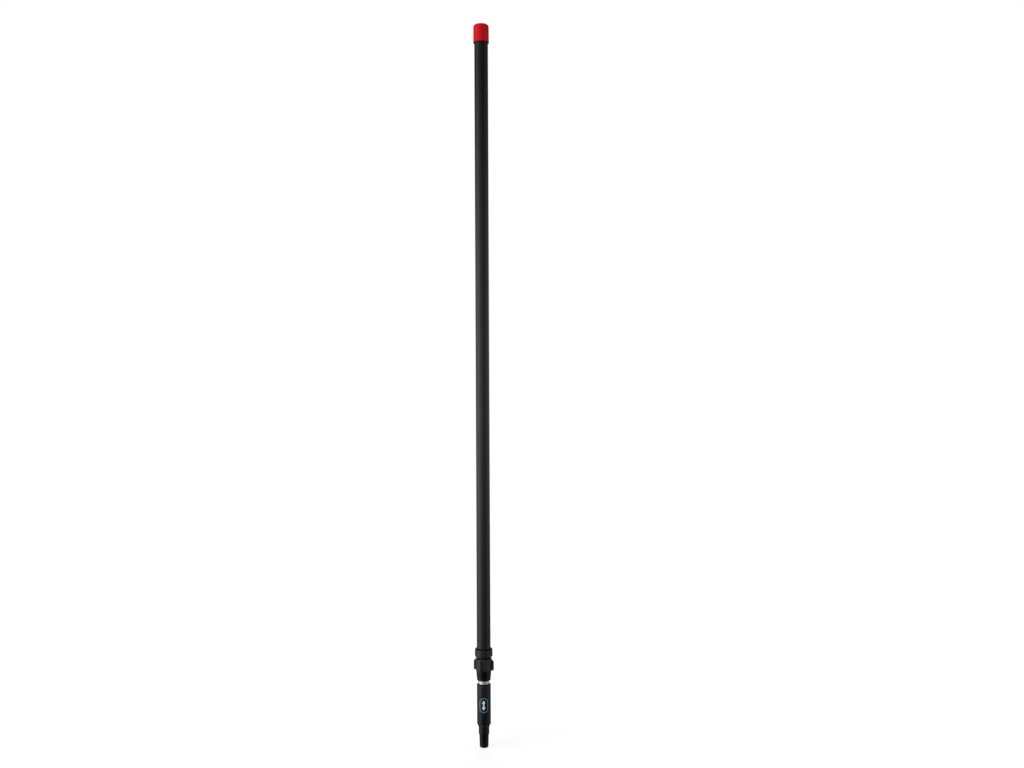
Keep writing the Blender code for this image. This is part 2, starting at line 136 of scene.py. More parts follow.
def apply_boolean(target, other, operation):
    """Joins or cuts for good, and removes the other object."""
    modifier = target.modifiers.new("Boolean", "BOOLEAN")
    modifier.operation = operation
    modifier.object = other
    graph = bpy.context.evaluated_depsgraph_get()
    mesh = bpy.data.meshes.new_from_object(target.evaluated_get(graph))
    target.modifiers.clear()
    target.data = mesh
    mesh.set_sharp_from_angle(angle=SMOOTH_BELOW)
    bpy.data.objects.remove(other, do_unlink=True)


def drill(piece, radius, start, end):
    """Cuts a round hole between two points."""
    start, end = Vector(start), Vector(end)
    axis = end - start
    turn = axis.to_track_quat("Z", "Y").to_matrix().to_4x4()
    shape = bmesh.new()
    bmesh.ops.create_cone(
        shape, cap_ends=True, segments=SMALL, radius1=radius, radius2=radius, depth=axis.length,
        matrix=Matrix.Translation((start + end) / 2) @ turn,
    )
    apply_boolean(piece, new_piece("hole", shape), "DIFFERENCE")


def stand_for(piece, node, material):
    """Puts the piece in the node's place: same body, same material slot."""
    piece.data.materials.clear()
    piece.data.materials.append(material)
    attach(piece, BODY_OF[node])
    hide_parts(node)


# ---------------------------------------------------------------- materials

def grey(level):
    return (level, level, level)


class Surface:
    """A Principled material with a few helpers for its procedural detail."""

    def __init__(self, name, colour, roughness, metallic=0.0, **sockets):
        self.material = bpy.data.materials.new(name)
        self.material.use_nodes = True
        self.tree = self.material.node_tree
        self.shader = self.tree.nodes["Principled BSDF"]
        self.place = self.tree.nodes.new("ShaderNodeTexCoord").outputs["Object"]
        self.colour = colour
        self.set("Roughness", roughness)
        self.set("Metallic", metallic)
        self.set("Base Color", (*colour, 1))
        for socket, value in sockets.items():
            self.set(socket.replace("_", " "), value)

    def set(self, socket, value):
        self.shader.inputs[socket].default_value = value

    def link(self, output, node_input):
        self.tree.links.new(output, node_input)

    def stretched(self, scale):
        """Object coordinates with each axis scaled, so that a texture runs along the small ones."""
        mapping = self.tree.nodes.new("ShaderNodeMapping")
        mapping.inputs["Scale"].default_value = scale
        self.link(self.place, mapping.inputs["Vector"])
        return mapping.outputs["Vector"]

    def noise(self, scale, detail=3.0, roughness=0.5, along=(1, 1, 1)):
        """Noise with the given number of features in a metre."""
        node = self.tree.nodes.new("ShaderNodeTexNoise")
        node.inputs["Scale"].default_value = scale
        node.inputs["Detail"].default_value = detail
        node.inputs["Roughness"].default_value = roughness
        self.link(self.stretched(along), node.inputs["Vector"])
        return node.outputs["Fac"]

    def remap(self, value, from_low, from_high, to_low, to_high):
        node = self.tree.nodes.new("ShaderNodeMapRange")
        self.link(value, node.inputs["Value"])
        for socket, number in zip(
            ("From Min", "From Max", "To Min", "To Max"), (from_low, from_high, to_low, to_high)
        ):
            node.inputs[socket].default_value = number
        return node.outputs["Result"]

    def math(self, operation, a, b):
        node = self.tree.nodes.new("ShaderNodeMath")
        node.operation = operation
        for socket, value in zip(node.inputs, (a, b)):
            if isinstance(value, (int, float)):
                socket.default_value = value
            else:
                self.link(value, socket)
        return node.outputs["Value"]

    def radius(self):
        """Distance from the pole's axis, in metres."""
        flat = self.tree.nodes.new("ShaderNodeVectorMath")
        flat.operation = "MULTIPLY"
        self.link(self.place, flat.inputs[0])
        flat.inputs[1].default_value = (1, 1, 0)
        length = self.tree.nodes.new("ShaderNodeVectorMath")
        length.operation = "LENGTH"
        self.link(flat.outputs["Vector"], length.inputs[0])
        return length.outputs["Value"]

    def tint(self, layers):
        """Base colour with other colours laid over it, each by its own 0 to 1 mask."""
        current = None
        for mask, colour in layers:
            mix = self.tree.nodes.new("ShaderNodeMix")
            mix.data_type = "RGBA"
            self.link(mask, mix.inputs["Factor"])
            if current is None:
                mix.inputs["A"].default_value = (*self.colour, 1)
            else:
                self.link(current, mix.inputs["A"])
            mix.inputs["B"].default_value = (*colour, 1)
            current = mix.outputs["Result"]
        self.link(current, self.shader.inputs["Base Color"])

    def rough(self, value):
        self.link(value, self.shader.inputs["Roughness"])

    def bump(self, layers):
        """Surface relief from (height, depth in metres) layers, the finest last."""
        normal = None
        for height, depth in layers:
            node = self.tree.nodes.new("ShaderNodeBump")
            node.inputs["Distance"].default_value = depth
            self.link(height, node.inputs["Height"])
            if normal is not None:
                self.link(normal, node.inputs["Normal"])
            normal = node.outputs["Normal"]
        self.link(normal, self.shader.inputs["Normal"])


def coated_tube_material():
    """Black satin coating on drawn aluminium: orange peel, draw lines, rubbed streaks and dust."""
    s = Surface("black_coated_aluminium", grey(0.0042), 0.3, Specular_IOR_Level=0.5)
    peel = s.noise(1400, 2)
    cloud = s.noise(22, 4, 0.6)
    draw = s.noise(700, 3, 0.6, (1, 1, 0.012))
    rubbed = s.remap(s.noise(260, 5, 0.65, (1, 1, 0.05)), 0.60, 0.74, 0, 1)
    dust = s.remap(s.noise(2600, 2, 0.5), 0.72, 0.8, 0, 0.35)
    s.tint([
        (s.remap(cloud, 0.35, 0.7, 0, 0.5), grey(0.007)),
        (s.math("MULTIPLY", rubbed, 0.3), grey(0.02)),
        (dust, grey(0.04)),
    ])
    s.rough(s.math("ADD", s.remap(cloud, 0.3, 0.7, 0.27, 0.34), s.math("MULTIPLY", rubbed, 0.1)))
    s.bump([(draw, 0.006 * MM), (peel, 0.014 * MM)])
    return s.material


def bare_tube_material():
    """Drawn aluminium with lengthwise lines and rings where the collet has gripped it."""
    s = Surface("bare_aluminium", (0.93, 0.932, 0.935), 0.44, 1.0)
    lines = s.noise(1500, 4, 0.65, (1, 1, 0.01))
    rings = s.noise(900, 3, 0.6, (0.05, 0.05, 1))
    stain = s.noise(60, 4, 0.6)
    s.tint([
        (s.remap(lines, 0.35, 0.75, 0, 0.5), (0.76, 0.762, 0.765)),
        (s.remap(stain, 0.5, 0.8, 0, 0.35), (0.7, 0.695, 0.68)),
    ])
    s.rough(s.math("ADD", s.remap(lines, 0.3, 0.7, 0.38, 0.5), s.remap(rings, 0.5, 0.8, 0, 0.1)))
    s.bump([(rings, 0.002 * MM), (lines, 0.004 * MM)])
    return s.material


GRIP_FADE = 0.6 * MM
DULL_FADE = 0.4 * MM


def moulded_material(name, polish_from, polish_to, grip=None, grain=2200, wear=0.5, dull_below=0):
    """Black moulded plastic with an eroded grain, polished where hands rub its furthest edges.

    Every place on it is told by its distance from the pole's axis. The polish grows from polish_from
    to polish_to. Between the two radii of grip the surface is coarser and looks lighter. Below the
    radius dull_below, in a groove that no hand polishes, it is dull.
    """
    s = Surface(name, grey(0.0016), 0.4, Specular_IOR_Level=0.45)
    fine = s.noise(grain, 3, 0.6)
    cloud = s.noise(45, 4, 0.6)
    worn = s.remap(s.radius(), polish_from, polish_to, 0, 1)
    worn = s.math("MULTIPLY", worn, s.remap(s.noise(180, 4, 0.7), 0.35, 0.6, 0.35, 1))
    nicks = s.remap(s.noise(420, 6, 0.75, (1, 1, 0.35)), 0.66, 0.74, 0, 0.7)
    rough = s.remap(cloud, 0.3, 0.7, 0.24, 0.32 if grip else 0.33)
    layers = [(s.remap(cloud, 0.35, 0.7, 0, 0.6), grey(0.003))]
    if grip:
        rises = s.remap(s.radius(), grip[0], grip[0] + GRIP_FADE, 0, 1)
        falls = s.remap(s.radius(), grip[1], grip[1] + GRIP_FADE, 1, 0)
        coarse = s.math("MULTIPLY", rises, falls)
        layers.append((coarse, (0.0165, 0.0165, 0.016)))
        rough = s.math("ADD", rough, s.math("MULTIPLY", coarse, 0.1))
    layers += [
        (s.math("MULTIPLY", worn, wear), grey(0.03)),
        (nicks, grey(0.012)),
    ]
    s.tint(layers)
    if dull_below:
        dull = s.remap(s.radius(), dull_below, dull_below + DULL_FADE, 0.4, 0)
        rough = s.math("ADD", rough, dull)
    s.rough(s.math("SUBTRACT", rough, s.math("MULTIPLY", worn, 0.08)))
    s.bump([(cloud, 0.02 * MM), (fine, 0.01 * MM)])
    return s.material


def red_cap_material():
    """Satin red polypropylene with a light grain, flow marks and small scuffs."""
    s = Surface("red_polypropylene", (0.56, 0.0035, 0.011), 0.4, Specular_IOR_Level=0.2)
    grain = s.noise(1900, 3, 0.6)
    flow = s.noise(70, 4, 0.6, (1, 1, 0.4))
    scuff = s.remap(s.noise(520, 6, 0.75), 0.66, 0.74, 0, 0.3)
    s.tint([
        (s.remap(flow, 0.35, 0.7, 0, 0.6), (0.5, 0.003, 0.0095)),
        (scuff, (0.58, 0.012, 0.02)),
    ])
    s.rough(s.remap(flow, 0.3, 0.7, 0.36, 0.46))
    s.bump([(flow, 0.03 * MM), (grain, 0.012 * MM)])
    return s.material


def pale_plastic_material():
    """Natural acetal, slightly translucent, with turned rings and grey rub marks."""
    s = Surface("natural_acetal", (0.72, 0.71, 0.66), 0.4, 0.0, Subsurface_Weight=0.1)
    s.set("Subsurface Radius", (0.002, 0.002, 0.0015))
    rings = s.noise(1200, 3, 0.6, (0.05, 0.05, 1))
    rub = s.remap(s.noise(300, 5, 0.65, (1, 1, 0.1)), 0.55, 0.75, 0, 0.6)
    s.tint([(rub, (0.42, 0.42, 0.4))])
    s.rough(s.remap(rings, 0.3, 0.7, 0.32, 0.48))
    s.bump([(rings, 0.006 * MM)])
    return s.material


def rubber_material():
    """Black rubber, dusty in patches."""
    s = Surface("black_rubber", grey(0.018), 0.8)
    grain = s.noise(1600, 4, 0.7)
    s.tint([(s.remap(s.noise(90, 3), 0.4, 0.7, 0, 0.6), (0.035, 0.034, 0.033))])
    s.rough(s.remap(grain, 0.3, 0.7, 0.7, 0.88))
    s.bump([(grain, 0.02 * MM)])
    return s.material


def metal_pin_material(name, colour, roughness):
    """A small machined or headed metal piece with fine marks."""
    s = Surface(name, colour, roughness, 1.0)
    marks = s.noise(2400, 4, 0.7)
    s.tint([(s.remap(marks, 0.45, 0.75, 0, 0.6), tuple(0.6 * c for c in colour))])
    s.rough(s.remap(marks, 0.3, 0.7, roughness - 0.06, roughness + 0.12))
    s.bump([(marks, 0.008 * MM)])
    return s.material


def ink_material(name, colour, worn_colour):
    """Screen-printed ink with a little of the sleeve showing through its pinholes."""
    s = Surface(name, colour, 0.4)
    pinholes = s.remap(s.noise(3800, 3, 0.6), 0.62, 0.7, 0, 0.7)
    fading = s.remap(s.noise(240, 4, 0.6), 0.5, 0.75, 0, 0.5)
    s.tint([(fading, worn_colour), (pinholes, grey(0.01))])
    s.rough(s.remap(s.noise(900, 3), 0.3, 0.7, 0.34, 0.5))
    s.bump([(s.noise(2600, 3, 0.6), 0.006 * MM)])
    return s.material


BLACK_TUBE = coated_tube_material()
BARE_TUBE = bare_tube_material()
NUT_BLACK = moulded_material(
    "nut_nylon", 23.1 * MM, 24.1 * MM, grip=(17.7 * MM, 19.3 * MM), wear=0.12
)  # polished on the ribs' crests, coarse on the barrel between them
BODY_BLACK = moulded_material("body_nylon", 20 * MM, 20.6 * MM, dull_below=18.2 * MM)
SLEEVE_BLACK = moulded_material("sleeve_nylon", 16 * MM, 16.2 * MM, grain=2800)
RED = red_cap_material()
PALE = pale_plastic_material()
RUBBER = rubber_material()
RIVET = metal_pin_material("rivet_aluminium", (0.62, 0.62, 0.63), 0.34)
STEEL = metal_pin_material("pin_steel", (0.5, 0.5, 0.51), 0.3)
BLUE_INK = ink_material("blue_ink", (0.075, 0.225, 0.35), (0.1, 0.25, 0.37))
WHITE_INK = ink_material("white_ink", (0.78, 0.79, 0.8), (0.6, 0.61, 0.62))


# ---------------------------------------------------------------- inner stage

RIVETS = ("sleeve_rivet_upper", "sleeve_rivet_lower")
BUSH_PINS = ("bush_pin_upper", "bush_pin_lower")
RIVET_HOLE = 1.9 * MM  # radius
PIN_HOLE = 1.7 * MM  # radius


def drill_for_rivets(piece, inside, outside):
    """Holes at the back, from inside to outside as distances from the pole's axis."""
    for node in RIVETS:
        at = centre_height(node)
        drill(piece, RIVET_HOLE, (0, inside, at), (0, outside, at))


def drill_for_pin(piece, node, inside, outside):
    """A hole along X, from inside to outside as positions along X."""
    at = centre_height(node)
    drill(piece, PIN_HOLE, (inside, 0, at), (outside, 0, at))


def make_inner_tube():
    """Drawn tube, drilled for the rivets below and for the bushes' pins above."""
    radius, low, high = span("inner_tube")
    bore = radius - 1.2 * MM
    corners = [(radius, high, 0.2 * MM), (radius, low, 0.2 * MM), (bore, low, 0), (bore, high, 0)]
    tube = turned("inner_tube_drawn", rounded(corners, steps=3), FINE)
    drill_for_rivets(tube, bore - MM, radius + MM)
    for node in BUSH_PINS:
        drill_for_pin(tube, node, bore - MM, radius + MM)
    stand_for(tube, "inner_tube", BARE_TUBE)


def make_sleeve():
    """Moulded sleeve with a soft top edge and a chamfered lower end."""
    radius, low, high = span("tool_sleeve")
    tube_radius, tube_low, _ = span("inner_tube")
    bore = tube_radius + FIT
    floor = tube_low - FIT
    collar_hole = span("tool_cone")[0] + FIT
    chamfer_top = low + 5.8 * MM
    corners = [
        (bore, high, 0.3 * MM),
        (radius, high, 2.5 * MM),
        (radius - 0.12 * MM, chamfer_top, 0.8 * MM),
        (collar_hole + 0.35 * MM, low, 0.25 * MM),
        (collar_hole, low, 0),
        (collar_hole, floor, 0),
        (bore, floor, 0),
    ]
    sleeve = turned("tool_sleeve_moulded", rounded(corners, steps=8), FINE)
    drill_for_rivets(sleeve, bore - MM, radius + MM)
    stand_for(sleeve, "tool_sleeve", SLEEVE_BLACK)


CONE_STEP_Z = 31.2 * MM
CONE_TOP_RADIUS = 11.15 * MM
CONE_TIP_RADIUS = 10.2 * MM
CONE_TIP_Z = 2.7 * MM  # the taper ends here, and the rounded tip is below
CONE_ROWS = 24
CONE_CORE = 8.2 * MM  # radius of the hollow in the shank
CONE_CORE_FLOOR = 12 * MM
FLUTES = 16
FLUTE_DEPTH = 0.2 * MM
FLUTE_TOP = 11.5 * MM
FLUTE_RUN_OUT = 1.5 * MM  # height over which a flute fades at its top
FLUTE_INNER = 8.4 * MM  # on the tip's end the flutes start at this radius
FLUTE_INNER_FADE = 1.2 * MM


def make_tool_cone():
    """Tapered cone with a collar above it, a cored shank, and shallow flutes round its tip."""
    collar, low, shank_top = span("tool_cone")
    tube_radius, tube_low, _ = span("inner_tube")
    shoulder = tube_low - FIT
    shank = tube_radius - 1.5 * MM
    corners = [
        (0, CONE_CORE_FLOOR, 0),
        (CONE_CORE, CONE_CORE_FLOOR, 0.5 * MM),
        (CONE_CORE, shank_top, 0.2 * MM),
        (shank, shank_top, 0.6 * MM),
        (shank, shoulder, 0),
        (collar, shoulder, 0),
        (collar, CONE_STEP_Z, 0.45 * MM),
        (CONE_TOP_RADIUS, CONE_STEP_Z, 0.3 * MM),
        (CONE_TIP_RADIUS, CONE_TIP_Z, 0),
        (CONE_TIP_RADIUS, low, 2.6 * MM),
        (0, low, 0),
    ]
    outline = rounded(corners, closed=False, steps=8)
    taper_end = outline.index(Vector((CONE_TIP_RADIUS, CONE_TIP_Z)))
    taper_start, tip = outline[taper_end - 1:taper_end + 1]
    rows = [taper_start.lerp(tip, i / CONE_ROWS) for i in range(1, CONE_ROWS)]
    outline = outline[:taper_end] + rows + outline[taper_end:]
    cone = turned("tool_cone_moulded", outline, FLUTES * 12, closed=False)
    for vertex in cone.data.vertices:
        x, y, z = vertex.co
        radius = math.hypot(x, y)
        if z > FLUTE_TOP or radius < FLUTE_INNER:
            continue
        fade = min(1, (FLUTE_TOP - z) / FLUTE_RUN_OUT)
        fade *= min(1, (radius - FLUTE_INNER) / FLUTE_INNER_FADE)
        wave = 0.5 + 0.5 * math.cos(FLUTES * math.atan2(y, x))
        scale = 1 - FLUTE_DEPTH * fade * wave ** 2 / radius
        vertex.co = (x * scale, y * scale, z)
    drill_for_rivets(cone, CONE_CORE - 1.2 * MM, shank + MM)
    stand_for(cone, "tool_cone", SLEEVE_BLACK)


RIVET_SHANK = 1.6 * MM
RIVET_TAIL = 2.2 * MM
RIVET_TAIL_OUT = 7.5 * MM  # the tail inside the cone ends this far from the pole's axis
RIVET_HEAD_HEIGHT = 1.2 * MM
MANDREL_DEPTH = 0.75 * MM


def make_rivets():
    """Domed blind rivets with the mandrel's hollow in the middle of the head."""
    for node in RIVETS:
        low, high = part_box(node)
        head = (high.x - low.x) / 2
        top = high.y
        seat = top - RIVET_HEAD_HEIGHT
        tail_in = low.y
        corners = [
            (0, top - MANDREL_DEPTH, 0),
            (0.75 * MM, top - MANDREL_DEPTH, 0.1 * MM),
            (0.85 * MM, top, 0.12 * MM),
            (head * 0.62, top - 0.12 * MM, 0.8 * MM),
            (head, seat + 0.25 * MM, 0.15 * MM),
            (head, seat, 0.06 * MM),
            (RIVET_SHANK, seat, 0),
            (RIVET_SHANK, RIVET_TAIL_OUT, 0),
            (RIVET_TAIL, RIVET_TAIL_OUT, 0.4 * MM),
            (RIVET_TAIL, tail_in, 0.6 * MM),
            (0, tail_in, 0),
        ]
        outline = rounded(corners, closed=False, steps=4)
        rivet = turned(node + "_headed", outline, MEDIUM, closed=False)
        rivet.data.transform(
            Matrix.Translation((0, 0, centre_height(node))) @ Matrix.Rotation(-math.pi / 2, 4, "X")
        )
        stand_for(rivet, node, RIVET)


BUSH_GROOVE = 0.4 * MM


def make_bushes():
    """Two bushes with a wide shallow groove, so that only their ends rub in the outer tube."""
    for node in ("guide_bush_lower", "guide_bush_upper"):
        radius, low, high = span(node)
        bore = span("inner_tube")[0] + FIT
        middle = (low + high) / 2
        corners = [
            (bore, high, 0.1 * MM),
            (radius, high, 0.6 * MM),
            (radius, middle + 8 * MM, 0.3 * MM),
            (radius - BUSH_GROOVE, middle + 7 * MM, 0.3 * MM),
            (radius - BUSH_GROOVE, middle - 7 * MM, 0.3 * MM),
            (radius, middle - 8 * MM, 0.3 * MM),
            (radius, low, 0.6 * MM),
            (bore, low, 0.1 * MM),
        ]
        bush = turned(node + "_turned", rounded(corners, steps=3), MEDIUM)
        drill_for_pin(bush, "bush_pin_" + node.rsplit("_", 1)[1], bore - MM, radius + MM)
        stand_for(bush, node, PALE)


def make_pins():
    """Pins with rounded ends, spun about Z and then laid along X."""
    for node in ("bush_pin_lower", "bush_pin_upper", "body_pin_left", "body_pin_right"):
        low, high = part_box(node)
        radius = (high.z - low.z) / 2
        corners = [
            (0, high.x, 0),
            (radius, high.x, 0.25 * MM),
            (radius, low.x, 0.25 * MM),
            (0, low.x, 0),
        ]
        outline = rounded(corners, closed=False, steps=3)
        pin = turned(node + "_ground", outline, SMALL, closed=False)
        pin.data.transform(
            Matrix.Translation((0, 0, centre_height(node))) @ Matrix.Rotation(math.pi / 2, 4, "Y")
        )
        stand_for(pin, node, STEEL)


PLUG_CORE = 8 * MM  # radius of the plug's hollow
PLUG_FLOOR = 3 * MM


def make_inner_plug():
    """Cup-shaped plug with a lip that rests on the inner tube's end."""
    radius, low, high = span("inner_tube_plug")
    tube_top = span("inner_tube")[2]
    seat = tube_top + FIT
    shank = radius - 1.5 * MM
    corners = [
        (0, low + PLUG_FLOOR, 0),
        (PLUG_CORE, low + PLUG_FLOOR, 0.6 * MM),
        (PLUG_CORE, high, 0.3 * MM),
        (radius, high, 0.6 * MM),
        (radius, seat, 0.2 * MM),
        (shank, seat, 0),
        (shank, low, 0.6 * MM),
        (0, low, 0),
    ]
    outline = rounded(corners, closed=False, steps=4)
    plug = turned("inner_tube_plug_moulded", outline, MEDIUM, closed=False)
    stand_for(plug, "inner_tube_plug", BODY_BLACK)


# ---------------------------------------------------------------- outer stage

def make_outer_tube():
    """Coated tube, drilled at both sides for the clamp body's pins."""
    radius, low, high = span("outer_tube")
    bore = radius - 1.5 * MM
    corners = [(radius, high, 0.3 * MM), (radius, low, 0.3 * MM), (bore, low, 0), (bore, high, 0)]
    tube = turned("outer_tube_coated", rounded(corners, steps=3), FINE)
    drill_for_pin(tube, "body_pin_right", bore - MM, radius + MM)
    drill_for_pin(tube, "body_pin_left", MM - bore, -radius - MM)
    stand_for(tube, "outer_tube", BLACK_TUBE)


CAP_CROWN = 17.95 * MM  # radius of the cap's wall at its top
GATE_DEPTH = 0.35 * MM  # the dimple where the plastic was injected
CAP_LIP = 0.22 * MM  # the lip stands this far out from the wall above it


def make_end_cap():
    """Slightly tapered cup with a soft crown, a dimple on top and a thickened lip at the mouth."""
    lip, low, high = span("end_cap")
    tube_radius, _, tube_top = span("outer_tube")
    corners = [
        (0, high - GATE_DEPTH, 0),
        (2.2 * MM, high - GATE_DEPTH, 0.15 * MM),
        (2.6 * MM, high, 0.25 * MM),
        (CAP_CROWN, high, 5 * MM),
        (lip - CAP_LIP, low + 3.4 * MM, 0.5 * MM),
        (lip, low + 2.8 * MM, 0.4 * MM),
        (lip, low, 0.7 * MM),
        (tube_radius + FIT, low, 0.3 * MM),
        (tube_radius + FIT, tube_top + FIT, 0),
        (0, tube_top + FIT, 0),
    ]
    cap = turned("end_cap_moulded", rounded(corners, closed=False, steps=10), FINE, closed=False)
    stand_for(cap, "end_cap", RED)


THREAD_PITCH = 4 * MM
THREAD_CORE = 15.3 * MM
THREAD_TIP = 16.4 * MM
THREAD_GAP = 0.35 * MM
THREAD_ANGLE = math.radians(5)
THREAD_RISE = 2.2 * MM  # the ridge starts this far above the clamp body's lower end
THREAD_TURNS = 3.5
GROOVE_TURNS = 7
THREAD_STEPS = 48  # segments in a turn
THREAD_BASE_HALF = 1.1 * MM  # half the ridge's width at its base
THREAD_TIP_HALF = 0.5 * MM

COLLAR_RADIUS = 18 * MM
FLANGE_HEIGHT = 12.9 * MM
NECK_RADIUS = 17.25 * MM


def thread_section(gap):
    """The ridge's outline of (radius, height) points, grown all round by a gap for the groove."""
    base = THREAD_CORE - FIT
    tip = THREAD_TIP + gap
    base_half = THREAD_BASE_HALF + gap
    tip_half = THREAD_TIP_HALF + gap * 0.55
    return [(base, base_half), (tip, tip_half), (tip, -tip_half), (base, -base_half)]


def thread_helix(gap, turns, body_low):
    """The right-handed thread as a closed body, for a clamp body whose lower end is at body_low."""
    start = body_low + THREAD_RISE
    shape = bmesh.new()
    corners = [shape.verts.new((r, 0, z + start)) for r, z in thread_section(gap)]
    edges = [shape.edges.new((a, b)) for a, b in zip(corners, corners[1:] + corners[:1])]
    count = round(turns * THREAD_STEPS)
    bmesh.ops.spin(
        shape, geom=corners + edges, cent=(0, 0, 0), axis=(0, 0, 1), angle=math.tau * turns,
        steps=count, dvec=(0, 0, turns * THREAD_PITCH / count),
    )
    bmesh.ops.holes_fill(shape, edges=[edge for edge in shape.edges if edge.is_boundary], sides=0)
    bmesh.ops.rotate(
        shape, verts=shape.verts, cent=(0, 0, 0), matrix=Matrix.Rotation(THREAD_ANGLE, 3, "Z")
    )
    return new_piece("thread", shape)


def make_clamp_body():
    """Flange with a short collar above and a neck and threaded spigot below."""
    flange, low, high = span("clamp_body")
    tube_radius, tube_low, _ = span("outer_tube")
    flange_top = span("cover_ring")[1] - FIT
    flange_bottom = flange_top - FLANGE_HEIGHT
    neck_low = span("clamp_nut")[2] + FIT
    bore = span("inner_tube")[0] + FIT
    socket = tube_radius + FIT
    corners = [
        (COLLAR_RADIUS, high, 0.3 * MM),
        (COLLAR_RADIUS, flange_top, 0.2 * MM),
        (flange, flange_top, 0.3 * MM),
        (flange, flange_bottom, 1.5 * MM),
        (NECK_RADIUS, flange_bottom, 0.4 * MM),
        (NECK_RADIUS, neck_low, 0.3 * MM),
        (THREAD_CORE, neck_low, 0.3 * MM),
        (THREAD_CORE, low, 0.4 * MM),
        (bore, low, 0.2 * MM),
        (bore, tube_low - FIT, 0),
        (socket, tube_low - FIT, 0),
        (socket, high, 0),
    ]
    body = turned("clamp_body_moulded", rounded(corners, steps=6), FINE)
    apply_boolean(body, thread_helix(0, THREAD_TURNS, low), "UNION")
    drill_for_pin(body, "body_pin_right", tube_radius - MM, COLLAR_RADIUS + MM)
    drill_for_pin(body, "body_pin_left", MM - tube_radius, -COLLAR_RADIUS - MM)
    stand_for(body, "clamp_body", BODY_BLACK)


def make_cover_ring():
    """Ring with a soft top edge, hollow below to go over the clamp body's collar."""
    radius, low, high = span("cover_ring")
    hollow = COLLAR_RADIUS + FIT
    socket = span("outer_tube")[0] + FIT
    collar_top = span("clamp_body")[2]
    corners = [
        (socket, high, 0.25 * MM),
        (radius, high, 3 * MM),
        (radius, low, 0.3 * MM),
        (hollow, low, 0.1 * MM),
        (hollow, collar_top + FIT, 0.1 * MM),
        (socket, collar_top + FIT, 0.1 * MM),
    ]
    ring = turned("cover_ring_moulded", rounded(corners, steps=8), FINE)
    stand_for(ring, "cover_ring", BODY_BLACK)


# ---------------------------------------------------------------- clamp

RIB_COUNT = 4
RIB_WIDTH = 3 * MM
RIB_RADIUS = 24.2 * MM
FRONT_RIB_ANGLE = math.radians(-106)
BARREL_RADIUS = 18.9 * MM
BARREL_BOTTOM = 179.6 * MM
SHOULDER_SUM = 225.0 * MM  # radius plus height along the nut's 45 degree shoulder
RIB_SHOULDER_SUM = 224.6 * MM
CORNER_STEPS = 5
GAP_STEPS = 14  # segments of the barrel between two ribs
ROOT_FILLET = 0.9 * MM
TIP_FILLET = 0.7 * MM
EDGE_FILLET = 0.5 * MM
EDGE_STEPS = 6
NOSE_TOP_RADIUS = 17.3 * MM
NOSE_RADIUS = 15.8 * MM
SEAL_GROOVE = (3.3 * MM, 8.1 * MM)  # heights above the nut's lower end
SEAL_GROOVE_RADIUS = 14.6 * MM
POCKET = (12.7 * MM, 29.1 * MM)  # room for the collet and the wedge ring, as heights
POCKET_RADIUS = 15.5 * MM


def rib_section(barrel, rib, width):
    """Points round the nut's grip at one height, the same number for any size of barrel and rib."""
    half = width / 2
    root = min(ROOT_FILLET, max(rib - barrel, 0) * 0.4) + 1e-6
    tip = min(TIP_FILLET, max(rib - barrel, 0) * 0.4, half * 0.8) + 1e-6
    foot = math.sqrt(max(barrel**2 - half**2, 0))
    side = math.sqrt(max(max(rib, barrel + 1e-6) ** 2 - half**2, 0))
    spread = half + root + 1.2 * MM
    rim = math.sqrt(barrel**2 - spread**2)
    outline = rounded_plain([
        (rim, -spread, 0),
        (foot, -half, root),
        (side, -half, tip),
        (side, half, tip),
        (foot, half, root),
        (rim, spread, 0),
    ])
    start = math.atan2(spread, rim)
    end = math.tau / RIB_COUNT - start
    for i in range(1, GAP_STEPS):
        angle = start + (end - start) * i / GAP_STEPS
        outline.append(Vector((barrel * math.cos(angle), barrel * math.sin(angle))))
    points = []
    for i in range(RIB_COUNT):
        turn = Matrix.Rotation(FRONT_RIB_ANGLE + math.tau * i / RIB_COUNT, 2)
        points += [turn @ point for point in outline]
    return points


def rounded_plain(corners):
    """Like rounded, for an open line, with no support points, so that the count never changes."""
    points = [Vector(corners[0][:2])]
    for i in range(1, len(corners) - 1):
        here = Vector(corners[i][:2])
        fillet = corners[i][2]
        before = Vector(corners[i - 1][:2]) - here
        after = Vector(corners[i + 1][:2]) - here
        half = before.angle(after) / 2
        reach = min(fillet / math.tan(half), before.length * 0.45, after.length * 0.45)
        radius = reach * math.tan(half)
        inwards = (before.normalized() + after.normalized()).normalized()
        centre = here + inwards * radius / math.sin(half)
        start = here + before.normalized() * reach - centre
        end = here + after.normalized() * reach - centre
        first = math.atan2(start.y, start.x)
        sweep = math.remainder(math.atan2(end.y, end.x) - first, math.tau)
        for step in range(CORNER_STEPS + 1):
            turn = first + sweep * step / CORNER_STEPS
            points.append(centre + radius * Vector((math.cos(turn), math.sin(turn))))
    return points + [Vector(corners[-1][:2])]


def grip_heights(top):
    """Heights of the nut's rows from its top to its lower edge: close together where it bends."""
    rib_bend = RIB_SHOULDER_SUM - RIB_RADIUS
    barrel_bend = SHOULDER_SUM - BARREL_RADIUS
    rib_meets = barrel_bend - (SHOULDER_SUM - RIB_SHOULDER_SUM)
    heights = [top - 0.3 * MM]
    heights += [barrel_bend + 0.15 * MM, barrel_bend - 0.15 * MM, rib_meets - 0.05 * MM]
    heights += [rib_meets - (rib_meets - rib_bend) * i / EDGE_STEPS for i in range(1, EDGE_STEPS)]
    heights += [rib_bend + 0.2 * MM, rib_bend - 0.2 * MM, rib_bend - 1.5 * MM]
    return heights + [BARREL_BOTTOM + 3 * MM]


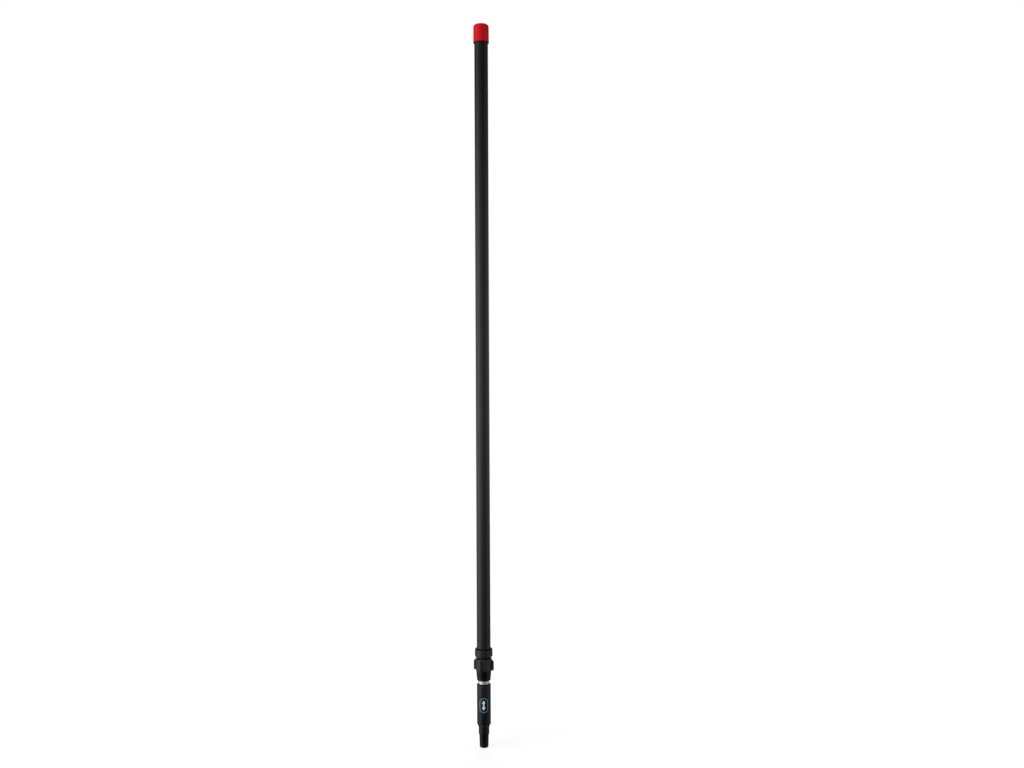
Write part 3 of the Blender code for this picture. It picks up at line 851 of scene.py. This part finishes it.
def nose_outline(low, top):
    """The nut's (radius, z) outline from the grip's lower edge round the nose and up the bore."""
    bore = span("inner_tube")[0] + FIT
    thread_bore = THREAD_CORE + THREAD_GAP
    groove_low, groove_high = (low + height for height in SEAL_GROOVE)
    pocket_low, pocket_high = (low + height for height in POCKET)
    return rounded([
        (BARREL_RADIUS - EDGE_FILLET, BARREL_BOTTOM, 0),
        (17.4 * MM, BARREL_BOTTOM, 0.5 * MM),
        (NOSE_TOP_RADIUS, 175 * MM, 2 * MM),
        (NOSE_RADIUS, 158 * MM, 0),
        (NOSE_RADIUS, low, 2.4 * MM),
        (bore, low, 0.3 * MM),
        (bore, groove_low, 0),
        (SEAL_GROOVE_RADIUS, groove_low, 0),
        (SEAL_GROOVE_RADIUS, groove_high, 0),
        (bore, groove_high, 0),
        (bore, pocket_low, 0),
        (POCKET_RADIUS, pocket_low, 0),
        (POCKET_RADIUS, pocket_high, 0),
        (thread_bore, pocket_high, 0),
        (thread_bore, top, 0.3 * MM),
        (NECK_RADIUS, top, 0.3 * MM),
        (NECK_RADIUS + 0.3 * MM, top - 0.3 * MM, 0),
    ], closed=False, steps=6)


def make_clamp_nut():
    """Grip barrel with four upright ribs, a sloping shoulder above and a tapered nose below."""
    _, low, top = span("clamp_nut")
    rows = []

    def grip_row(z, inset=0.0):
        barrel = min(BARREL_RADIUS, SHOULDER_SUM - z) - inset
        rib = min(RIB_RADIUS, RIB_SHOULDER_SUM - z) - inset
        rows.append((z, rib_section(barrel, rib, RIB_WIDTH - 2 * inset)))

    for z in grip_heights(top):
        grip_row(z)
    for i in range(EDGE_STEPS + 1):
        turn = math.pi / 2 * i / EDGE_STEPS
        z = BARREL_BOTTOM + EDGE_FILLET * (1 - math.sin(turn))
        grip_row(z, EDGE_FILLET * (1 - math.cos(turn)))
    angles = [math.atan2(point.y, point.x) for point in rows[0][1]]
    for radius, z in nose_outline(low, top)[1:-1]:
        circle = [Vector((radius * math.cos(a), radius * math.sin(a))) for a in angles]
        rows.append((z, circle))

    shape = bmesh.new()
    rings = [[shape.verts.new((p.x, p.y, z)) for p in points] for z, points in rows]
    count = len(rings[0])
    for upper, lower in zip(rings, rings[1:] + rings[:1]):
        for i in range(count):
            j = (i + 1) % count
            shape.faces.new((upper[i], lower[i], lower[j], upper[j]))
    nut = new_piece("clamp_nut_moulded", shape)
    body_low = span("clamp_body")[1]
    apply_boolean(nut, thread_helix(THREAD_GAP, GROOVE_TURNS, body_low), "DIFFERENCE")
    stand_for(nut, "clamp_nut", NUT_BLACK)


COLLET_SLOTS = 6
SLOT_WIDTH = 1.2 * MM
SPLIT_WIDTH = 1.6 * MM  # one slot goes all the way up
SLOT_TOP = 179.5 * MM


def make_collet():
    """Split sleeve with tapered fingers."""
    _, low, high = span("collet")
    bore = span("inner_tube")[0] + FIT
    corners = [
        (bore, high, 0.15 * MM),
        (14.15 * MM, high, 0.2 * MM),
        (13.7 * MM, low, 0.2 * MM),
        (bore, low, 0.15 * MM),
    ]
    collet = turned("collet_split", rounded(corners, steps=3), FINE)
    start = low - 2 * MM
    for i in range(COLLET_SLOTS):
        width = SLOT_WIDTH if i else SPLIT_WIDTH
        top = SLOT_TOP if i else high + 2 * MM
        shape = bmesh.new()
        turn = Matrix.Rotation(math.tau * (i + 0.5) / COLLET_SLOTS, 4, "Z")
        shift = Matrix.Translation((14 * MM, 0, (top + start) / 2))
        size = Matrix.Diagonal((6 * MM, width, top - start, 1))
        bmesh.ops.create_cube(shape, size=1, matrix=turn @ shift @ size)
        apply_boolean(collet, new_piece("slot", shape), "DIFFERENCE")
    stand_for(collet, "collet", PALE)


def make_wedge_ring():
    """Ring with a bore that widens upwards, to press on the collet's fingers."""
    radius, low, high = span("wedge_ring")
    corners = [
        (radius, high, 0.25 * MM),
        (radius, low, 0.25 * MM),
        (14 * MM, low, 0.15 * MM),
        (14.45 * MM, high, 0.15 * MM),
    ]
    ring = turned("wedge_ring_moulded", rounded(corners, steps=3), MEDIUM)
    stand_for(ring, "wedge_ring", BODY_BLACK)


SEAL_FILLET = 0.4 * MM


def make_wiper_seal():
    """Rubber ring in the nose's groove."""
    radius, low, high = span("wiper_seal")
    bore = span("inner_tube")[0] + FIT
    corners = [
        (radius, high, SEAL_FILLET),
        (radius, low, SEAL_FILLET),
        (bore, low, SEAL_FILLET),
        (bore, high, SEAL_FILLET),
    ]
    seal = turned("wiper_seal_moulded", rounded(corners, steps=3), MEDIUM)
    stand_for(seal, "wiper_seal", RUBBER)


# ---------------------------------------------------------------- printed mark

MARK_CENTRE_Z = 101 * MM
MARK_PROUD = 0.05 * MM  # the ink's surface above the sleeve's
MARK_BACK = 0.02 * MM
MARK_HALF_WIDTH = 10.5 * MM
MARK_HALF_HEIGHT = 17 * MM
LINE_WIDTH = 1.6 * MM
ARROW_TIP = 11.5 * MM  # heights from the mark's centre
ARROW_BARB = 4.8 * MM
ARROW_SHAFT = 4.5 * MM
ARROW_COLUMNS = 8


def on_sleeve(across, z, proud):
    """A point printed on the sleeve: the distance across is measured round its front."""
    radius = span("tool_sleeve")[0] + proud
    angle = -math.pi / 2 + across / radius
    return Vector((radius * math.cos(angle), radius * math.sin(angle), z))


def printed(name, rows, closed, material):
    """A thin printed patch from rows of (across, z) points, each row the same length."""
    shape = bmesh.new()
    layers = []
    for proud in (MARK_PROUD, MARK_BACK):
        layers.append([[shape.verts.new(on_sleeve(u, z, proud)) for u, z in row] for row in rows])
    count = len(rows)
    width = len(rows[0])
    for layer in layers:
        for i in range(count if closed else count - 1):
            for j in range(width - 1):
                a, b = layer[i], layer[(i + 1) % count]
                shape.faces.new((a[j], b[j], b[j + 1], a[j + 1]))
    if closed:
        bridge_sides(shape, layers)
    else:
        bmesh.ops.bridge_loops(shape, edges=[edge for edge in shape.edges if edge.is_boundary])
    patch = new_piece(name, shape)
    patch.data.materials.append(material)
    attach(patch, BODY_OF["tool_sleeve"])


def bridge_sides(shape, layers):
    """Joins the front and back of a printed outline along its inner and outer edge."""
    front, back = layers
    count = len(front)
    for j in (0, -1):
        for i in range(count):
            k = (i + 1) % count
            shape.faces.new((front[i][j], front[k][j], back[k][j], back[i][j]))


def stadium(half_width, half_height, steps=24):
    """Points of an upright stadium outline about the mark's centre."""
    straight = half_height - half_width
    points = []
    for side, first in ((1, 0), (-1, math.pi)):
        for i in range(steps + 1):
            turn = math.pi * i / steps + first
            across, up = half_width * math.cos(turn), half_width * math.sin(turn)
            points.append((across, side * straight + up))
    return points


def make_printed_mark():
    """A generic mark: a blue stadium outline round a white arrow that points up and down."""
    outer = stadium(MARK_HALF_WIDTH, MARK_HALF_HEIGHT)
    inner = stadium(MARK_HALF_WIDTH - LINE_WIDTH, MARK_HALF_HEIGHT - LINE_WIDTH)
    rows = [
        [(a[0], MARK_CENTRE_Z + a[1]), (b[0], MARK_CENTRE_Z + b[1])] for a, b in zip(outer, inner)
    ]
    printed("printed_outline", rows, True, BLUE_INK)
    half_widths = [(ARROW_SHAFT, 1.5 * MM), (ARROW_BARB, 4 * MM), (ARROW_TIP, 0.05 * MM)]
    half_widths = [(-z, half) for z, half in reversed(half_widths)] + half_widths
    columns = [2 * j / ARROW_COLUMNS - 1 for j in range(ARROW_COLUMNS + 1)]
    rows = [
        [(half * column, MARK_CENTRE_Z + z) for column in columns] for z, half in half_widths
    ]
    printed("printed_arrow", rows, False, WHITE_INK)


make_inner_tube()
make_sleeve()
make_tool_cone()
make_rivets()
make_bushes()
make_pins()
make_inner_plug()
make_outer_tube()
make_end_cap()
make_clamp_body()
make_cover_ring()
make_clamp_nut()
make_collet()
make_wedge_ring()
make_wiper_seal()
make_printed_mark()


# ---------------------------------------------------------------- stage, lights and camera

CAMERA_DISTANCE = 2.3
CAMERA_ASIDE = 0.0686
CAMERA_HEIGHT = 0.845
CAMERA_LENS = 34.7
CAMERA_ROLL = math.radians(0.25)


def make_floor():
    """A pale floor just below the pole, as bright as the backdrop, so that no line shows."""
    bpy.ops.mesh.primitive_plane_add(size=40, location=(0, 0, -2 * MM))
    floor = bpy.context.object
    floor.name = "floor"
    surface = Surface("pale_floor", grey(0.15), 0.9, Specular_IOR_Level=0.0)
    surface.set("Emission Color", (1, 1, 1, 1))
    surface.set("Emission Strength", 0.78)
    floor.data.materials.append(surface.material)
    floor.visible_glossy = False
    floor.visible_diffuse = False


def facing(azimuth, elevation):
    """Unit vector towards a point of the studio, with azimuth from the front towards the right."""
    turn, rise = math.radians(azimuth), math.radians(elevation)
    level = math.cos(rise)
    return Vector((level * math.sin(turn), -level * math.cos(turn), math.sin(rise)))


class Studio:
    """The world: white where the camera sees it, and wide soft lights for everything else."""

    def __init__(self):
        world = bpy.data.worlds.new("studio")
        bpy.context.scene.world = world
        world.use_nodes = True
        self.tree = world.node_tree
        self.tree.nodes.clear()
        self.direction = self.add("ShaderNodeTexCoord").outputs["Generated"]
        self.total = None

    def add(self, kind, operation=None):
        node = self.tree.nodes.new(kind)
        if operation:
            node.operation = operation
        return node

    def ramp(self, value, low, high, strength):
        """A smooth rise from 0 at low to the given strength at high, added to the world's light."""
        node = self.add("ShaderNodeMapRange")
        node.interpolation_type = "SMOOTHSTEP"
        self.tree.links.new(value, node.inputs["Value"])
        node.inputs["From Min"].default_value = low
        node.inputs["From Max"].default_value = high
        node.inputs["To Max"].default_value = strength
        if self.total is None:
            self.total = node.outputs["Result"]
            return
        both = self.add("ShaderNodeMath", "ADD")
        self.tree.links.new(self.total, both.inputs[0])
        self.tree.links.new(node.outputs["Result"], both.inputs[1])
        self.total = both.outputs["Value"]

    def patch(self, azimuth, elevation, flat, outer, inner, strength):
        """A patch of light, full inside the inner angle and gone at the outer one.

        It is flat times less high than wide.
        """
        squeezed = self.add("ShaderNodeVectorMath", "MULTIPLY")
        squeezed.inputs[1].default_value = (1, 1, flat)
        unit = self.add("ShaderNodeVectorMath", "NORMALIZE")
        along = self.add("ShaderNodeVectorMath", "DOT_PRODUCT")
        middle = facing(azimuth, elevation)
        middle.z *= flat
        along.inputs[1].default_value = middle.normalized()
        self.tree.links.new(self.direction, squeezed.inputs[0])
        self.tree.links.new(squeezed.outputs["Vector"], unit.inputs[0])
        self.tree.links.new(unit.outputs["Vector"], along.inputs[0])
        gone, full = math.cos(math.radians(outer)), math.cos(math.radians(inner))
        self.ramp(along.outputs["Value"], gone, full, strength)

    def band(self, height, strength):
        """Soft band of light all round at eye level, gone at the given sine of elevation."""
        apart = self.add("ShaderNodeSeparateXYZ")
        size = self.add("ShaderNodeMath", "ABSOLUTE")
        self.tree.links.new(self.direction, apart.inputs["Vector"])
        self.tree.links.new(apart.outputs["Z"], size.inputs[0])
        self.ramp(size.outputs["Value"], height, 0.0, strength)

    def finish(self):
        """Puts the lights in the world, with plain white in their place for the camera."""
        out = self.add("ShaderNodeOutputWorld")
        mix = self.add("ShaderNodeMixShader")
        seen = self.add("ShaderNodeLightPath")
        soft = self.add("ShaderNodeBackground")
        white = self.add("ShaderNodeBackground")
        soft.inputs["Color"].default_value = (1, 1, 1, 1)
        white.inputs["Color"].default_value = (1, 1, 1, 1)
        self.tree.links.new(self.total, soft.inputs["Strength"])
        self.tree.links.new(seen.outputs["Is Camera Ray"], mix.inputs["Fac"])
        self.tree.links.new(soft.outputs["Background"], mix.inputs[1])
        self.tree.links.new(white.outputs["Background"], mix.inputs[2])
        self.tree.links.new(mix.outputs["Shader"], out.inputs["Surface"])


def soft_light(name, azimuth, elevation, spread, strength):
    """A wide distant light, even along the whole pole and too soft to show as a highlight."""
    light = bpy.data.lights.new(name, "SUN")
    light.angle = math.radians(spread)
    light.energy = strength
    obj = bpy.data.objects.new(name, light)
    obj.rotation_euler = (-facing(azimuth, elevation)).to_track_quat("-Z", "Y").to_euler()
    obj.visible_glossy = False
    bpy.context.scene.collection.objects.link(obj)


def make_camera():
    """The photo's viewpoint: level, a little to the right and half-way up the pole."""
    camera = bpy.data.objects.new("camera", bpy.data.cameras.new("camera"))
    camera.data.lens = CAMERA_LENS
    camera.data.clip_start = 0.01
    camera.location = (CAMERA_ASIDE, -CAMERA_DISTANCE, CAMERA_HEIGHT)
    camera.rotation_euler = (math.pi / 2, CAMERA_ROLL, 0)
    bpy.context.scene.collection.objects.link(camera)
    bpy.context.scene.camera = camera


def light_studio():
    """Patches at the pole's height for the long streaks, and low ones for what a floor reflects."""
    studio = Studio()
    studio.patch(-74, -1, flat=2.2, outer=54, inner=6, strength=1.5)
    studio.patch(-18, 1, flat=3.0, outer=50, inner=5, strength=0.5)
    studio.patch(84, -2, flat=1.8, outer=60, inner=8, strength=0.34)
    studio.patch(180, 0, flat=1.6, outer=55, inner=8, strength=0.7)
    studio.patch(-68, -55, flat=1, outer=34, inner=5, strength=0.7)
    studio.patch(80, -55, flat=1, outer=34, inner=5, strength=0.3)
    studio.patch(180, -55, flat=1, outer=34, inner=5, strength=0.45)
    studio.band(height=0.3, strength=0.4)
    studio.finish()
    soft_light("left_key", -70, 40, spread=40, strength=2.15)
    soft_light("right_fill", 80, 40, spread=40, strength=1.15)
    soft_light("front_fill", -35, 50, spread=40, strength=1.5)
    soft_light("back_fill", 180, 45, spread=40, strength=2.0)


make_floor()
light_studio()
make_camera()
bpy.context.scene.view_settings.view_transform = "Standard"
